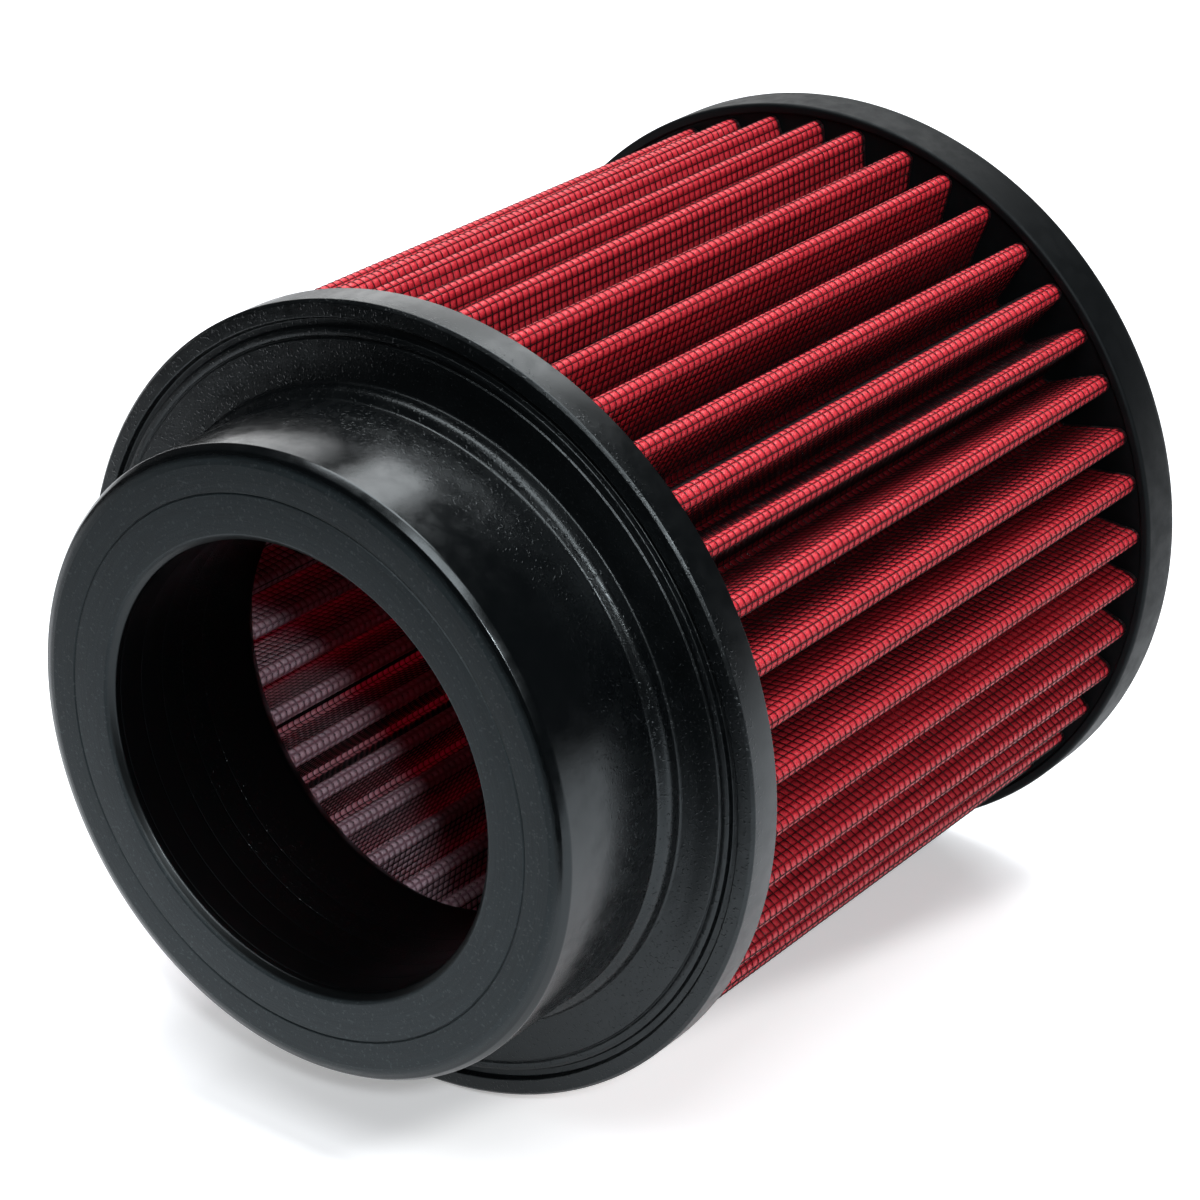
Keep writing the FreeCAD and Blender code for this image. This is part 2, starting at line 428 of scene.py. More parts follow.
@dataclass(frozen=True)
class GauzeFinish:
    """Oiled cotton gauze that swells out of each cell of the wire screens, with shade painted into its
    valleys and into the edges of each cell.
    """

    name: str
    red: Colour = tint(0.96, 0.068, 0.094)
    # colour at the cell edges: painted shade of the swell, and darker fibres and oil
    deep_red_and_cell_shade: Colour = tint(0.54, 0.012, 0.026)
    # painted shade: the flanks darken from the crests down into the valleys between the pleats
    valley_shade: Colour = tint(0.085, 0.003, 0.006)
    valley_shade_from: float = 67.0
    valley_shade_to: float = 57.0
    valley_shade_share: float = 0.88
    inside: Colour = tint(0.86, 0.68, 0.80)
    inside_deep_and_cell_shade: Colour = tint(0.36, 0.23, 0.29)
    glow: Colour = tint(0.78, 0.04, 0.16)
    through: float = 0.33
    potting: Colour = tint(0.004, 0.004, 0.005)
    wick_from: float = 9.6
    wick: float = 2.4
    swell: float = 0.4
    swell_strength: float = 0.9
    threads: float = 4.0
    thread_depth: float = 0.09
    fibre_depth: float = 0.25
    dry_rough: float = 0.4
    oiled_rough: float = 0.26

    def material(self, effects: Effects) -> Material:
        """Build the material; the piece's UV map counts the cells of its screens.

        Args:
            effects: Shared shader groups.

        Returns:
            The material.
        """
        material, graph, shader = new_material(self.name)
        cells = graph.add("ShaderNodeUVMap", uv_map="UVMap").outputs[0]
        across, along, _ = graph.add("ShaderNodeSeparateXYZ", cells).outputs
        waves, threads = (
            [graph.math("SINE", graph.times(count, turn)) for count in (across, along)]
            for turn in (math.pi, 2 * math.pi * self.threads)
        )
        pillow = graph.math("POWER", graph.math("ABSOLUTE", graph.times(*waves)), 0.5)
        weave = graph.times(*threads)
        place = graph.add("ShaderNodeTexCoord").outputs["Object"]
        fibres = graph.noise(place, 2400.0, 2.0, 0.7)
        oil = graph.group(effects.clouds, Scale=90.0, Low=0.25, High=0.75).outputs["Mask"]
        # painted shade and highlight: each cell is lighter in its middle and darker at the wires, as light
        # falls on the swell; the oil and fibre masks add uneven tone of the cloth
        cell_shade_and_tone = graph.times(graph.step(pillow, 0.32, 0.98), graph.step(oil, 0.0, 1.0, 0.75, 1.0))
        cell_shade_and_tone = graph.times(cell_shade_and_tone, graph.step(fibres, 0.3, 0.7, 0.55, 1.0))
        turned = graph.group(effects.turned).outputs
        outside = graph.blend(cell_shade_and_tone, self.deep_red_and_cell_shade, self.red)
        # painted shade, deeper towards the valleys
        valley_shade = graph.step(
            turned["Radius"], self.valley_shade_from * MM, self.valley_shade_to * MM, 0.0, self.valley_shade_share
        )
        outside = graph.blend(valley_shade, outside, self.valley_shade)
        within = graph.blend(cell_shade_and_tone, self.inside_deep_and_cell_shade, self.inside)
        ragged = graph.noise(place, 700.0, 2.0, 0.6)
        level = graph.math("SUBTRACT", turned["Height"], graph.times(ragged, self.wick * MM))
        wet = graph.step(level, (self.wick_from + 0.25) * MM, (self.wick_from - 0.25) * MM)
        face = graph.add("ShaderNodeAttribute", attribute_name="inside").outputs["Fac"]
        cloth = graph.blend(face, outside, within)
        graph.feed(shader.inputs["Base Color"], graph.blend(wet, cloth, self.potting))
        graph.feed(shader.inputs["Roughness"], graph.step(oil, 0.0, 1.0, self.dry_rough, self.oiled_rough))
        relief = graph.math("MULTIPLY_ADD", weave, self.thread_depth, pillow)
        relief = graph.math("MULTIPLY_ADD", fibres, self.fibre_depth, relief)
        bump = {"Strength": self.swell_strength, "Distance": self.swell * MM, "Height": relief}
        graph.feed(shader.inputs["Normal"], graph.add("ShaderNodeBump", named=bump).outputs[0])
        shine = graph.add("ShaderNodeBsdfTranslucent", self.glow)
        graph.show(graph.add("ShaderNodeMixShader", self.through, shader.outputs[0], shine.outputs[0]))
        return material


@dataclass(frozen=True)
class WireFinish:
    """Coated screen wire, dark and a little glossy, with bright specks painted on as glints."""

    name: str
    coat: Colour
    # painted glints: colour of the pale specks on the wire
    glint_specks: Colour = tint(0.16, 0.15, 0.15)
    glint_share: float = 0.12
    gleam: float = 0.2
    dry_rough: float = 0.6
    oiled_rough: float = 0.42

    def material(self, effects: Effects) -> Material:
        """Build the material.

        Args:
            effects: Shared shader groups.

        Returns:
            The material.
        """
        material, graph, shader = new_material(self.name)
        specks = graph.group(effects.grain, Scale=1500.0).outputs["Specks"]
        # painted glints at random specks
        glint_specks = graph.times(specks, self.glint_share)
        oil = graph.group(effects.clouds, Scale=140.0, Low=0.3, High=0.7).outputs["Mask"]
        graph.feed(shader.inputs["Base Color"], graph.blend(glint_specks, self.coat, self.glint_specks))
        graph.feed(shader.inputs["Roughness"], graph.step(oil, 0.0, 1.0, self.dry_rough, self.oiled_rough))
        shader.inputs["Specular IOR Level"].default_value = self.gleam
        graph.show(shader)
        return material


def link_object(name: str, mesh: Mesh) -> Object:
    """Put a mesh into the scene as an object at the origin."""
    piece = bpy.data.objects.new(name, mesh)
    bpy.context.scene.collection.objects.link(piece)
    return piece


def hand_over(piece: Object, node: str) -> None:
    """Fix a finished piece to the frame.

    Args:
        piece: Finished object.
        node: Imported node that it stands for.
    """
    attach(piece, BODY)
    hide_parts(node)
    LOG.info("%s: %d vertices, %d faces", piece.name, len(piece.data.vertices), len(piece.data.polygons))


def rounded(corners: Sequence[Corner], closed: bool, arc_step: float = math.radians(12)) -> list[Point]:
    """Round the corners of a half section.

    Args:
        corners: Radius, height and rounding of each corner.
        closed: Whether the last corner joins the first.
        arc_step: Largest turn between two points of an arc.

    Returns:
        Radius and height of each point of the section.
    """
    points: list[Point] = []
    count = len(corners)
    for index, (radius, height, rounding) in enumerate(corners):
        here = Vector((radius, height))
        ends = not closed and index in (0, count - 1)
        if ends or rounding <= 0.0:
            points.append((here.x, here.y))
            continue
        before = Vector(corners[index - 1][:2]) - here
        after = Vector(corners[(index + 1) % count][:2]) - here
        turn = math.pi - before.angle(after)
        reach = min(rounding * math.tan(turn / 2), 0.48 * before.length, 0.48 * after.length)
        bend = reach / math.tan(turn / 2)
        start = here + before.normalized() * reach
        centre = here + (before.normalized() + after.normalized()).normalized() * (bend / math.cos(turn / 2))
        first = start - centre
        way = 1.0 if before.cross(after) < 0 else -1.0
        steps = max(2, math.ceil(turn / arc_step))
        for step in range(steps + 1):
            spoke = Matrix.Rotation(way * turn * step / steps, 2) @ first
            points.append((centre.x + spoke.x, centre.y + spoke.y))
    return points


def turned_mesh(name: str, section: Sequence[Point], closed: bool, segments: int) -> Mesh:
    """Turn a half section about the axis.

    Args:
        name: Name of the mesh.
        section: Radius and height of each point, in millimetres.
        closed: Whether the last point joins the first; if not, both ends lie on the axis.
        segments: Steps around the axis.

    Returns:
        The mesh, in metres, with smooth faces and sharp corners.
    """
    work = bmesh.new()
    rings: list[list[bmesh.types.BMVert]] = []
    for radius, height in section:
        if radius < 1e-6:
            rings.append([work.verts.new((0.0, 0.0, height * MM))] * segments)
            continue
        ring = []
        reach = radius * MM
        for step in range(segments):
            angle = 2 * math.pi * step / segments
            place = (reach * math.cos(angle), reach * math.sin(angle), height * MM)
            ring.append(work.verts.new(place))
        rings.append(ring)
    pairs = list(zip(rings, rings[1:]))
    if closed:
        pairs.append((rings[-1], rings[0]))
    for lower, upper in pairs:
        for step in range(segments):
            after = (step + 1) % segments
            loop = [lower[step], lower[after], upper[after], upper[step]]
            corners = list(dict.fromkeys(loop))
            if len(corners) > 2:
                work.faces.new(corners)
    bmesh.ops.recalc_face_normals(work, faces=work.faces)
    mesh = bpy.data.meshes.new(name)
    work.to_mesh(mesh)
    work.free()
    mesh.polygons.foreach_set("use_smooth", [True] * len(mesh.polygons))
    mesh.set_sharp_from_angle(angle=math.radians(40))
    return mesh


@dataclass
class OutletNeck:
    """Moulded neck: the bore for the intake pipe, the clamp seat and the flange that holds the pleats.

    Each profile gives the radius, the rise from its face and the rounding of its corners.
    """

    bore_radius: float = 38.1
    bore_chamfer: float = 1.3
    bore_shade: float = 2.4
    neck_radius: float = 53.5
    mouth: float = 159.0
    shoulder: float = 1.9
    flange_face: float = 131.7
    pleat_top: float = 125.2
    band_radius: float = 68.64
    band_edge: float = 0.6
    collar_radius: float = 54.0
    collar_end: float = 121.0
    lead_in: float = 3.2
    lead_height: float = 4.0
    ring_pitch: float = 4.9
    ring_count: int = 5
    ring_top: float = 2.4
    ring_half: float = 0.2
    ring_depth: float = 0.06
    foot: tuple[Corner, ...] = ((53.5, 135.3, 0.8), (55.2, 134.1, 2.6))
    mouth_profile: tuple[Corner, ...] = (
        (45.78, 0.0, 0.06),
        (46.0, -0.3, 0.06),
        (46.22, -0.02, 0.06),
        (50.6, 0.0, 0.2),
        (52.7, -0.7, 0.6),
    )
    flange_profile: tuple[Corner, ...] = (
        (55.2, 0.1, 0.5),
        (58.5, -0.25, 12.0),
        (62.2, -0.1, 0.1),
        (62.45, -0.45, 0.1),
        (62.8, -0.15, 0.2),
        (63.45, 0.0, 1.6),
        (64.0, -0.2, 0.3),
        (64.25, -1.1, 0.25),
        (65.35, -1.1, 0.25),
        (65.7, 0.0, 0.3),
        (68.1, -0.1, 0.3),
    )
    segments: int = 384

    def section(self) -> list[Corner]:
        """Lay out the half section.

        Returns:
            Its corners, from the collar's inner end up the bore and round to the pleats.
        """
        bore, mouth, flange, band = self.bore_radius, self.mouth, self.flange_face, self.band_radius
        corners: list[Corner] = [
            (bore + self.lead_in, self.collar_end, 0.4),
            (bore, self.collar_end + self.lead_height, 2.5),
        ]
        first = mouth - self.ring_top - self.ring_pitch * (self.ring_count - 1)
        for ring in range(self.ring_count):
            height = first + self.ring_pitch * ring
            corners += [
                (bore, height - self.ring_half, 0.1),
                (bore + self.ring_depth, height, 0.1),
                (bore, height + self.ring_half, 0.1),
            ]
        corners += [(bore, mouth - self.bore_chamfer, 0.7), (bore + self.bore_chamfer, mouth, 0.5)]
        corners += [(radius, mouth + rise, rounding) for radius, rise, rounding in self.mouth_profile]
        corners.append((self.neck_radius, mouth - self.shoulder, 0.7))
        corners += self.foot
        corners += [(radius, flange + rise, rounding) for radius, rise, rounding in self.flange_profile]
        return corners + [
            (band, flange - self.band_edge, 0.3),
            (band, self.pleat_top, 0.2),
            (self.collar_radius, self.pleat_top, 0.2),
            (self.collar_radius, self.collar_end, 0.3),
        ]

    def build(self, effects: Effects) -> Object:
        """Make and dress the moulding.

        Args:
            effects: Shared shader groups.

        Returns:
            The finished piece.
        """
        mesh = turned_mesh("neck_moulding", rounded(self.section(), True), True, self.segments)
        bore_shade_edge = self.bore_radius + self.bore_shade
        finish = NeckFinish("Neck polyurethane", trim_height=self.mouth, bore_shade_edge=bore_shade_edge)
        mesh.materials.append(finish.material(effects))
        piece = link_object("neck_moulding", mesh)
        hand_over(piece, "outlet_neck")
        return piece


@dataclass
class EndCap:
    """Moulded cap that closes the far end and holds the pleats in its floor."""

    radius: float = 69.84
    rounding: float = 3.0
    floor: float = 9.8
    rim_height: float = 1.0
    rim_inside: float = 68.04
    middle: float = 30.0
    segments: int = 384

    def section(self) -> list[Corner]:
        """Lay out the half section.

        Returns:
            Its corners, from the outer face round to the seat of the pleats.
        """
        rim = self.floor + self.rim_height
        return [
            (0.0, 0.0, 0.0),
            (self.middle, 0.0, 0.0),
            (self.radius, 0.0, self.rounding),
            (self.radius, rim, 0.7),
            (self.rim_inside, rim, 0.35),
            (self.rim_inside, self.floor, 0.2),
            (self.middle, self.floor, 0.0),
            (0.0, self.floor, 0.0),
        ]

    def build(self, effects: Effects) -> Object:
        """Make and dress the moulding.

        Args:
            effects: Shared shader groups.

        Returns:
            The finished piece.
        """
        mesh = turned_mesh("cap_moulding", rounded(self.section(), False), False, self.segments)
        mesh.materials.append(MouldingFinish("Cap polyurethane").material(effects))
        piece = link_object("cap_moulding", mesh)
        hand_over(piece, "end_cap")
        return piece


@dataclass
class Pleats:
    """Path of the folded sheets: flanks that join each crest's round to the inner folds beside it."""

    count: int = 45
    crest_radius: float = 67.7
    depth: float = 13.4
    crest_gap: float = 1.15
    fold_gap: float = 1.1
    media_thickness: float = 0.7
    screen_thickness: float = 0.3
    seat: float = 9.8
    length: float = 115.4

    def line(self, offset: float, crest_steps: int, fold_steps: int) -> list[Point]:
        """Line of one pleat, from the middle of one inner fold to the next.

        Args:
            offset: Distance from the middle of the stack, outwards positive.
            crest_steps: Steps round the crest.
            fold_steps: Steps round each half of an inner fold.

        Returns:
            Points in the XY plane, in millimetres.
        """
        half_pitch = math.pi / self.count
        stack = self.media_thickness + 2 * self.screen_thickness
        half_crest = self.crest_gap / 2 + stack
        half_fold = self.fold_gap / 2 + stack
        crest_centre = Vector((self.crest_radius - half_crest, 0.0))
        fold_reach = self.crest_radius - self.depth + half_fold
        spoke = Vector((fold_reach * math.cos(half_pitch), fold_reach * math.sin(half_pitch))) - crest_centre
        crossing = math.acos((half_crest + half_fold - stack) / spoke.length)
        crest_spread = math.atan2(spoke.y, spoke.x) - crossing
        fold_spread = crest_spread - half_pitch
        crest_bend = half_crest - stack / 2 + offset
        fold_bend = half_fold - stack / 2 - offset
        points: list[Point] = []

        def arc(centre: Vector, bend: float, start: float, end: float, steps: int) -> None:
            """Add the points of one arc."""
            for step in range(steps + 1):
                angle = start + (end - start) * step / steps
                points.append((centre.x + bend * math.cos(angle), centre.y + bend * math.sin(angle)))

        low = Vector((fold_reach * math.cos(-half_pitch), fold_reach * math.sin(-half_pitch)))
        high = Vector((low.x, -low.y))
        inward = math.pi - half_pitch
        arc(low, fold_bend, inward, inward - fold_spread, fold_steps)
        arc(crest_centre, crest_bend, -crest_spread, crest_spread, crest_steps)
        inward = math.pi + half_pitch
        arc(high, fold_bend, inward + fold_spread, inward, fold_steps)
        return points

    @staticmethod
    def shares(points: Sequence[Point]) -> list[float]:
        """Share of the line's length at each of its points."""
        runs = [0.0]
        for first, second in zip(points, points[1:]):
            runs.append(runs[-1] + math.dist(first, second))
        return [run / runs[-1] for run in runs]


def ring_group() -> NodeTree:
    """Geometry group that repeats one pleat around the axis and joins the copies.

    Returns:
        The group, with the inputs Pleat, Pleats and Cells, and the output Ring.
    """
    inputs = {"Pleat": "Geometry", "Pleats": "Int", "Cells": "Float"}
    graph, given, out = new_group("Ring of pleats", "GeometryNodeTree", inputs, {"Ring": "Geometry"})
    pleats = given.outputs["Pleats"]
    centres = graph.shape("MeshLine", Count=pleats, Offset=(0.0, 0.0, 0.0))
    index = graph.shape("InputIndex")
    turn = graph.times(index, graph.math("DIVIDE", 2 * math.pi, pleats))
    around = graph.add("FunctionNodeAxisAngleToRotation", (0.0, 0.0, 1.0), turn).outputs[0]
    copies = graph.shape("InstanceOnPoints", Points=centres, Instance=given.outputs["Pleat"], Rotation=around)
    counted = graph.add(
        "GeometryNodeStoreNamedAttribute",
        data_type="FLOAT",
        domain="INSTANCE",
        named={"Geometry": copies, "Name": "pleat", "Value": index},
    )
    real = graph.shape("RealizeInstances", counted.outputs[0])
    pleat = graph.add("GeometryNodeInputNamedAttribute", "pleat", data_type="FLOAT").outputs[0]
    shift = graph.add("ShaderNodeCombineXYZ", graph.times(pleat, given.outputs["Cells"]))
    own = graph.add("GeometryNodeInputNamedAttribute", "UVMap", data_type="FLOAT_VECTOR").outputs[0]
    moved = graph.add("ShaderNodeVectorMath", own, shift.outputs[0], operation="ADD")
    mapped = graph.add(
        "GeometryNodeStoreNamedAttribute",
        data_type="FLOAT2",
        domain="CORNER",
        named={"Geometry": real, "Name": "UVMap", "Value": moved.outputs[0]},
    )
    joined = graph.shape("MergeByDistance", Geometry=mapped.outputs[0], Distance=JOIN_GAP * MM)
    graph.feed(out.inputs["Ring"], joined)
    return graph.tree


def uneven_group() -> NodeTree:
    """Geometry group that spaces pleats a little unevenly and lets them lean, by turning each point.

    Returns:
        The group, with the inputs Sheet, Spread, Lean, Middle and Length, and the output Sheet.
    """
    inputs = {"Sheet": "Geometry", **dict.fromkeys(SPACING, "Float")}
    graph, given, out = new_group("Uneven pleats", "GeometryNodeTree", inputs, {"Sheet": "Geometry"})
    place = graph.shape("InputPosition")
    x, y, z = graph.add("ShaderNodeSeparateXYZ", place).outputs
    flat = graph.add("ShaderNodeCombineXYZ", x, y).outputs[0]
    bearing = graph.add("ShaderNodeVectorMath", flat, operation="NORMALIZE").outputs[0]
    other = graph.add("ShaderNodeVectorMath", bearing, (7.0, 3.0, 5.0), operation="ADD").outputs[0]
    share = graph.math("DIVIDE", graph.math("SUBTRACT", z, given.outputs["Middle"]), given.outputs["Length"])
    spread = graph.math("SUBTRACT", graph.noise(bearing, 6.0, 1.0), 0.5)
    lean = graph.times(graph.math("SUBTRACT", graph.noise(other, 6.0, 1.0), 0.5), share)
    leaning = graph.times(lean, given.outputs["Lean"])
    turn = graph.math("MULTIPLY_ADD", spread, given.outputs["Spread"], leaning)
    angle = {"Vector": place, "Angle": turn}
    turned = graph.add("ShaderNodeVectorRotate", rotation_type="Z_AXIS", named=angle).outputs[0]
    moved = graph.shape("SetPosition", Geometry=given.outputs["Sheet"], Position=turned)
    graph.feed(out.inputs["Sheet"], moved)
    return graph.tree


def end_tree(graph: Graph, shape: NodeSocket, material: NodeSocket, target: NodeSocket) -> None:
    """End a geometry tree: make the shape real, set its material and put it out at the target."""
    real = graph.shape("RealizeInstances", shape)
    graph.feed(target, graph.shape("SetMaterial", Geometry=real, Material=material))


def sheet_tree(ring: NodeTree, uneven: NodeTree) -> NodeTree:
    """Geometry tree of a folded sheet.

    Args:
        ring: Group that makes the ring of pleats from one pleat.
        uneven: Group that spaces the pleats a little unevenly.

    Returns:
        The tree: one pleat repeated around the axis.
    """
    inputs = {
        "Pleat": "Geometry",
        "Pleats": "Int",
        "Cells": "Float",
        **dict.fromkeys(SPACING, "Float"),
        "Material": "Material",
    }
    graph, given, out = new_group("Folded sheet", "GeometryNodeTree", inputs, {"Sheet": "Geometry"})
    outlet = given.outputs
    sheet = graph.group(ring, **{name: outlet[name] for name in ("Pleat", "Pleats", "Cells")})
    spaced = graph.group(uneven, Sheet=sheet.outputs[0], **{name: outlet[name] for name in SPACING})
    end_tree(graph, spaced.outputs[0], outlet["Material"], out.inputs["Sheet"])
    return graph.tree


def screen_tree(ring: NodeTree, uneven: NodeTree) -> NodeTree:
    """Geometry tree of a folded wire screen.

    Args:
        ring: Group that makes the ring of pleats from one pleat's line.
        uneven: Group that spaces the pleats a little unevenly.

    Returns:
        The tree: cross wires follow the folds at a pitch, and long wires stand along the axis.
    """
    inputs = {
        "Pleat": "Geometry",
        **dict.fromkeys(("Pleats", "Cross wires", "Long wires"), "Int"),
        **dict.fromkeys(("First cross wire", "Cross pitch", "Long start", "Long end"), "Vector"),
        **dict.fromkeys(("Wire radius", "Wander", *SPACING), "Float"),
        "Material": "Material",
    }
    outputs = {"Screen": "Geometry"}
    graph, given, out = new_group("Folded wire screen", "GeometryNodeTree", inputs, outputs)
    outlet = given.outputs
    loop = graph.group(ring, Pleat=outlet["Pleat"], Pleats=outlet["Pleats"])
    path = graph.shape("MeshToCurve", loop.outputs[0])
    profile = graph.shape("CurvePrimitiveCircle", Resolution=WIRE_SIDES, Radius=outlet["Wire radius"])
    cross = graph.shape("CurveToMesh", Curve=path, Profile_Curve=profile)
    count, first, pitch = outlet["Cross wires"], outlet["First cross wire"], outlet["Cross pitch"]
    rows = graph.shape("MeshLine", Count=count, Start_Location=first, Offset=pitch)
    stacked = graph.shape("RealizeInstances", graph.shape("InstanceOnPoints", Points=rows, Instance=cross))
    bend = graph.noise(graph.shape("InputPosition"), 90.0, 1.0)
    rise = graph.times(graph.math("SUBTRACT", bend, 0.5), outlet["Wander"])
    lifted = graph.add("ShaderNodeCombineXYZ", None, None, rise).outputs[0]
    wavy = graph.shape("SetPosition", Geometry=stacked, Offset=lifted)
    evenly = graph.shape("ResampleCurve", Curve=path, Count=outlet["Long wires"])
    straight = graph.shape("CurvePrimitiveLine", Start=outlet["Long start"], End=outlet["Long end"])
    long_wire = graph.shape("CurveToMesh", Curve=straight, Profile_Curve=profile)
    standing = graph.shape("InstanceOnPoints", Points=evenly, Instance=long_wire)
    both = graph.add("GeometryNodeJoinGeometry")
    graph.feed(both.inputs[0], wavy)
    graph.feed(both.inputs[0], standing)
    real = graph.shape("RealizeInstances", both.outputs[0])
    spaced = graph.group(uneven, Sheet=real, **{name: outlet[name] for name in SPACING})
    smooth = graph.shape("SetShadeSmooth", spaced.outputs[0])
    end_tree(graph, smooth, outlet["Material"], out.inputs["Screen"])
    return graph.tree


def run_tree(name: str, source: Mesh, tree: NodeTree, sizes: dict[str, Any]) -> Object:
    """Run a geometry tree over a source mesh and keep the result as a plain mesh.

    Args:
        name: Name of the piece.
        source: Mesh that the tree starts from.
        tree: Geometry tree.
        sizes: Value of each named input.

    Returns:
        The piece, with no modifier.
    """
    piece = link_object(name, source)
    modifier = piece.modifiers.new("Build", "NODES")
    modifier.node_group = tree
    for item in tree.interface.items_tree:
        if item.item_type == "SOCKET" and item.in_out == "INPUT" and item.name in sizes:
            modifier[item.identifier] = sizes[item.name]
    graph = bpy.context.evaluated_depsgraph_get()
    mesh = bpy.data.meshes.new_from_object(
        piece.evaluated_get(graph), preserve_all_data_layers=True, depsgraph=graph
    )
    piece.modifiers.remove(modifier)
    piece.data = mesh
    mesh.name = name
    bpy.data.meshes.remove(source)
    return piece


@dataclass
class FilterPack:
    """Folded filter element: gauze between an outer and an inner wire screen."""

    pleats: Pleats
    cross_pitch: float = 1.5875
    long_wires: int = 768
    wire_radius: float = 0.106
    wire_sink: float = 0.07
    wire_wander: float = 0.6
    spread: float = 2.6
    lean: float = 2.2
    crest_steps: int = 12
    fold_steps: int = 6
    wire_crest_steps: int = 5
    wire_fold_steps: int = 1

    def __post_init__(self) -> None:
        """Work out the cells of the screens and build the shared ring group."""
        self.cells = self.long_wires / self.pleats.count
        self.rows = int(self.pleats.length / self.cross_pitch) + 1
        self.first_row = self.pleats.seat + (self.pleats.length - (self.rows - 1) * self.cross_pitch) / 2
        self.ring = ring_group()
        self.uneven = uneven_group()
        self.spacing = {
            "Spread": math.radians(self.spread),
            "Lean": math.radians(self.lean),
            "Middle": (self.pleats.seat + self.pleats.length / 2) * MM,
            "Length": self.pleats.length * MM,
        }

    def wire_offset(self, side: Side) -> float:
        """Distance of a screen's wires from the middle of the stack."""
        return side.value * (self.pleats.media_thickness / 2 + self.wire_radius - self.wire_sink)

    def gauze_pleat(self) -> Mesh:
        """One pleat of gauze as a shell, open where it meets the next pleat.

        Returns:
            The mesh, with a UV map that counts screen cells and an attribute that marks the inner face.
        """
        pleats = self.pleats
        bottom, top = pleats.seat * MM, (pleats.seat + pleats.length) * MM
        row_bottom = -(self.first_row - pleats.seat) / self.cross_pitch
        row_top = row_bottom + pleats.length / self.cross_pitch
        mesh = bpy.data.meshes.new("gauze_pleat")
        corners: list[Triple] = []
        counts: list[list[float]] = []
        for side in Side:
            line = pleats.line(side.value * pleats.media_thickness / 2, self.crest_steps, self.fold_steps)
            wire = pleats.line(self.wire_offset(side), self.crest_steps, self.fold_steps)
            counts.append([share * self.cells for share in pleats.shares(wire)])
            corners += [(x * MM, y * MM, bottom) for x, y in line]
            corners += [(x * MM, y * MM, top) for x, y in line]
        points = len(counts[0])
        outer_low, outer_high, inner_low, inner_high = (points * k for k in range(4))
        faces: list[tuple[int, int, int, int]] = []
        marks: list[float] = []
        for k in range(points - 1):
            faces += [
                (outer_low + k, outer_low + k + 1, outer_high + k + 1, outer_high + k),
                (inner_low + k + 1, inner_low + k, inner_high + k, inner_high + k + 1),
                (outer_high + k, outer_high + k + 1, inner_high + k + 1, inner_high + k),
                (outer_low + k + 1, outer_low + k, inner_low + k, inner_low + k + 1),
            ]
            marks += [0.0, 1.0, 0.0, 0.0]
        mesh.from_pydata(corners, [], faces)
        inside = mesh.attributes.new("inside", "FLOAT", "FACE")
        inside.data.foreach_set("value", marks)
        cells = mesh.uv_layers.new(name="UVMap")
        for loop in mesh.loops:
            row, place = divmod(loop.vertex_index, points)
            along = row_top if row % 2 else row_bottom
            cells.data[loop.index].uv = (counts[row // 2][place], along)
        return mesh

    def wire_pleat(self, side: Side) -> Mesh:
        """Line of one pleat that a screen's wires follow.

        Args:
            side: Face of the gauze that the screen lies on.

        Returns:
            A mesh of edges in the XY plane.
        """
        line = self.pleats.line(self.wire_offset(side), self.wire_crest_steps, self.wire_fold_steps)
        mesh = bpy.data.meshes.new("wire_pleat")
        edges = [(k, k + 1) for k in range(len(line) - 1)]
        mesh.from_pydata([(x * MM, y * MM, 0.0) for x, y in line], edges, [])
        return mesh

    def build(self, effects: Effects) -> None:
        """Make and dress the gauze and both screens.

        Args:
            effects: Shared shader groups.
        """
        self._gauze(GauzeFinish("Oiled gauze").material(effects))
        tree = screen_tree(self.ring, self.uneven)
        outer = WireFinish("Outer wire", tint(0.007, 0.003, 0.004)).material(effects)
        self._screen("outer_wires", "outer_screen", Side.OUTER, tree, outer)
        inner = WireFinish("Inner wire", tint(0.010, 0.008, 0.009)).material(effects)
        self._screen("inner_wires", "inner_screen", Side.INNER, tree, inner)

    def _gauze(self, material: Material) -> None:
        """Make the folded gauze in its finish."""
        sizes = {**self.spacing, "Pleats": self.pleats.count, "Cells": self.cells, "Material": material}
        gauze = run_tree("folded_gauze", self.gauze_pleat(), sheet_tree(self.ring, self.uneven), sizes)
        gauze.data.polygons.foreach_set("use_smooth", [True] * len(gauze.data.polygons))
        gauze.data.set_sharp_from_angle(angle=math.radians(50))
        hand_over(gauze, "filter_media")

    def _screen(
        self, name: str, node: str, side: Side, tree: NodeTree, material: Material
    ) -> None:
        """Make one wire screen.

        Args:
            name: Name of the piece.
            node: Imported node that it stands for.
            side: Face of the gauze that it lies on.
            tree: Geometry tree of the screens.
            material: Finish of the wires.
        """
        pleats = self.pleats
        sizes = {
            **self.spacing,
            "Pleats": pleats.count,
            "Cross wires": self.rows,
            "First cross wire": (0.0, 0.0, self.first_row * MM),
            "Cross pitch": (0.0, 0.0, self.cross_pitch * MM),
            "Long wires": self.long_wires,
            "Long start": (0.0, 0.0, pleats.seat * MM),
            "Long end": (0.0, 0.0, (pleats.seat + pleats.length) * MM),
            "Wire radius": self.wire_radius * MM,
            "Wander": self.wire_wander * MM,
            "Material": material,
        }
        hand_over(run_tree(name, self.wire_pleat(side), tree, sizes), node)


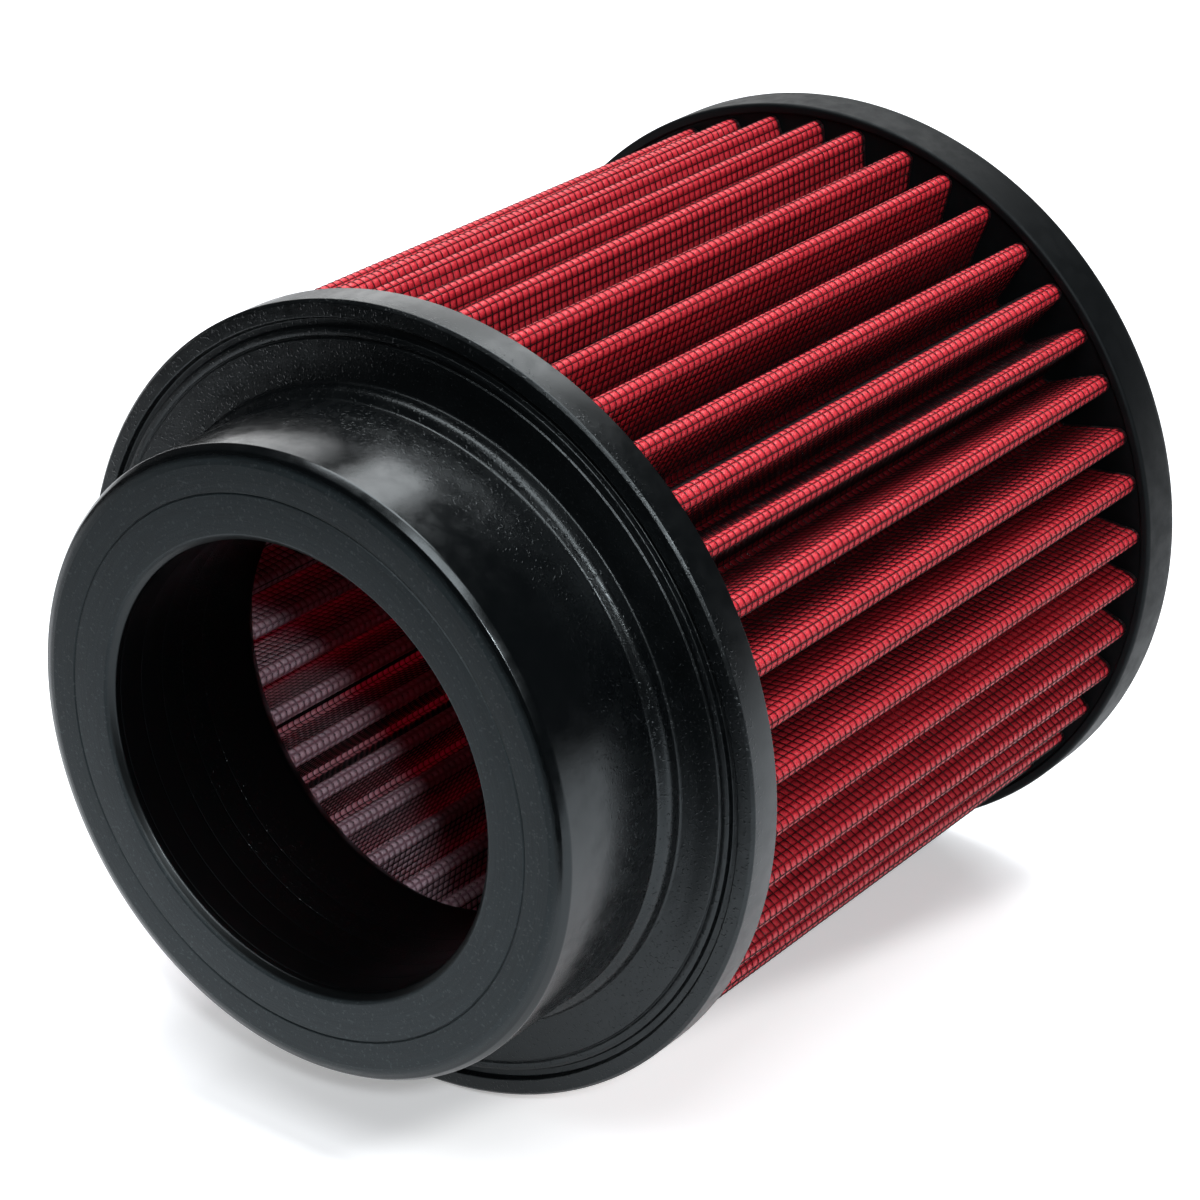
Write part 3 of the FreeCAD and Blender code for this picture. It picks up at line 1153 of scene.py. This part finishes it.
@dataclass(frozen=True)
class Lamp:
    """Soft square-edged lamp that faces the filter; place and size are in metres, power in watts."""

    name: str
    place: Triple
    size: tuple[float, float]
    power: float

    def build(self) -> None:
        """Hang the lamp in the scene."""
        light = bpy.data.lights.new(self.name, "AREA")
        light.shape = "RECTANGLE"
        light.size, light.size_y = self.size
        light.energy = self.power
        lamp = bpy.data.objects.new(self.name, light)
        lamp.location = self.place
        aim = Vector(LAMP_TARGET) - Vector(self.place)
        lamp.rotation_mode = "QUATERNION"
        lamp.rotation_quaternion = aim.to_track_quat("-Z", "Y")
        bpy.context.scene.collection.objects.link(lamp)


@dataclass
class Studio:
    """White floor that the filter lies on, soft lamps and the camera at the photograph's angle, in metres."""

    floor_side: float = 0.0703
    floor_reach: float = 3.0
    floor_front: float = 0.27
    paper: Colour = tint(0.83, 0.855, 0.89)
    floor_glow: float = 0.35
    # painted light: extra glow that the camera sees on the floor in front of the filter
    painted_light_ahead: float = 0.28
    painted_light_from: float = 0.048
    painted_light_to: float = 0.061
    painted_light_slope: float = 0.3
    sky: float = 0.035
    eye: Triple = (-0.3345, -0.2634, 0.5302)
    forward: Triple = (0.5380, 0.4250, -0.7277)
    right: Triple = (-0.8041, 0.0, -0.5945)
    lens: float = 108.39
    sensor: float = 36.0
    lamps: tuple[Lamp, ...] = (
        Lamp("Back", (0.28, -0.91, -0.76), (0.36, 0.7), 4.6),
        Lamp("Rear", (0.88, -0.50, -0.72), (0.7, 0.8), 4.5),
        Lamp("Key", (-0.36, -1.00, 0.65), (0.5, 0.5), 6.5),
        Lamp("Top", (0.12, -1.12, -0.08), (0.9, 0.8), 17.0),
        Lamp("Front", (-0.648, -0.575, 0.775), (0.07, 0.07), 4.8),
    )

    def build(self) -> None:
        """Make the camera, the lamps, the sky and the floor."""
        self._camera()
        for lamp in self.lamps:
            lamp.build()
        self._sky()
        side, reach, front = self.floor_side, self.floor_reach, self.floor_front
        corners = [(-reach, side, -reach), (reach, side, -reach), (reach, side, front), (-reach, side, front)]
        mesh = bpy.data.meshes.new("floor")
        mesh.from_pydata(corners, [], [(0, 1, 2, 3)])
        mesh.materials.append(self._paper())
        link_object("floor", mesh)

    def _paper(self) -> Material:
        """Make the white floor paper, whose back is clear.

        Returns:
            The material: shaded paper under a glow that the camera and reflections see. To the camera, light
            is painted onto it in front of the filter, which lightens the shadow there away from the filter's
            edge.
        """
        material, graph, shader = new_material("Floor paper")
        shader.inputs["Base Color"].default_value = self.paper
        shader.inputs["Roughness"].default_value = 0.9
        shader.inputs["Specular IOR Level"].default_value = 0.1
        path = graph.add("ShaderNodeLightPath").outputs
        seen = graph.math("MAXIMUM", path["Is Camera Ray"], path["Is Glossy Ray"])
        seen = graph.math("MAXIMUM", seen, path["Is Transmission Ray"])
        place = graph.add("ShaderNodeTexCoord").outputs["Object"]
        x, _, z = graph.add("ShaderNodeSeparateXYZ", place).outputs
        # painted light: extra glow for the camera, growing with the distance ahead of the filter's contact
        # line
        ahead = graph.math("SUBTRACT", graph.times(z, self.painted_light_slope), x)
        front = graph.step(ahead, self.painted_light_from, self.painted_light_to, 0.0, self.painted_light_ahead)
        front = graph.times(front, path["Is Camera Ray"])
        strength = graph.math("MULTIPLY_ADD", seen, self.floor_glow, front)
        glow = graph.add("ShaderNodeEmission", tint(1.0, 1.0, 1.0), strength)
        paper = graph.add("ShaderNodeAddShader", shader.outputs[0], glow.outputs[0])
        back = graph.add("ShaderNodeNewGeometry").outputs["Backfacing"]
        clear = graph.add("ShaderNodeBsdfTransparent")
        graph.show(graph.add("ShaderNodeMixShader", back, paper.outputs[0], clear.outputs[0]))
        return material

    def _sky(self) -> None:
        """Light the scene dimly and evenly from all around."""
        world = bpy.data.worlds.new("Studio")
        world.use_nodes = True
        background = world.node_tree.nodes["Background"]
        background.inputs["Color"].default_value = tint(1.0, 1.0, 1.0)
        background.inputs["Strength"].default_value = self.sky
        bpy.context.scene.world = world

    def _camera(self) -> None:
        """Set the camera of the photograph."""
        camera = bpy.data.cameras.new("Camera")
        camera.lens = self.lens
        camera.sensor_width = self.sensor
        camera.clip_start = 0.01
        forward = Vector(self.forward).normalized()
        right = (Vector(self.right) - forward * forward.dot(Vector(self.right))).normalized()
        above = right.cross(forward)
        turn = Matrix((right, above, -forward)).transposed().to_4x4()
        mount = bpy.data.objects.new("Camera", camera)
        mount.matrix_world = Matrix.Translation(self.eye) @ turn
        bpy.context.scene.collection.objects.link(mount)
        bpy.context.scene.camera = mount


def main() -> None:
    """Build each sub-assembly and report it."""
    logging.basicConfig(level=logging.INFO, format="%(name)s: %(message)s")
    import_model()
    bpy.context.scene.view_settings.view_transform = "Standard"
    effects = Effects()
    OutletNeck().build(effects)
    EndCap().build(effects)
    FilterPack(Pleats()).build(effects)
    Studio().build()


if __name__ == "__main__":
    main()
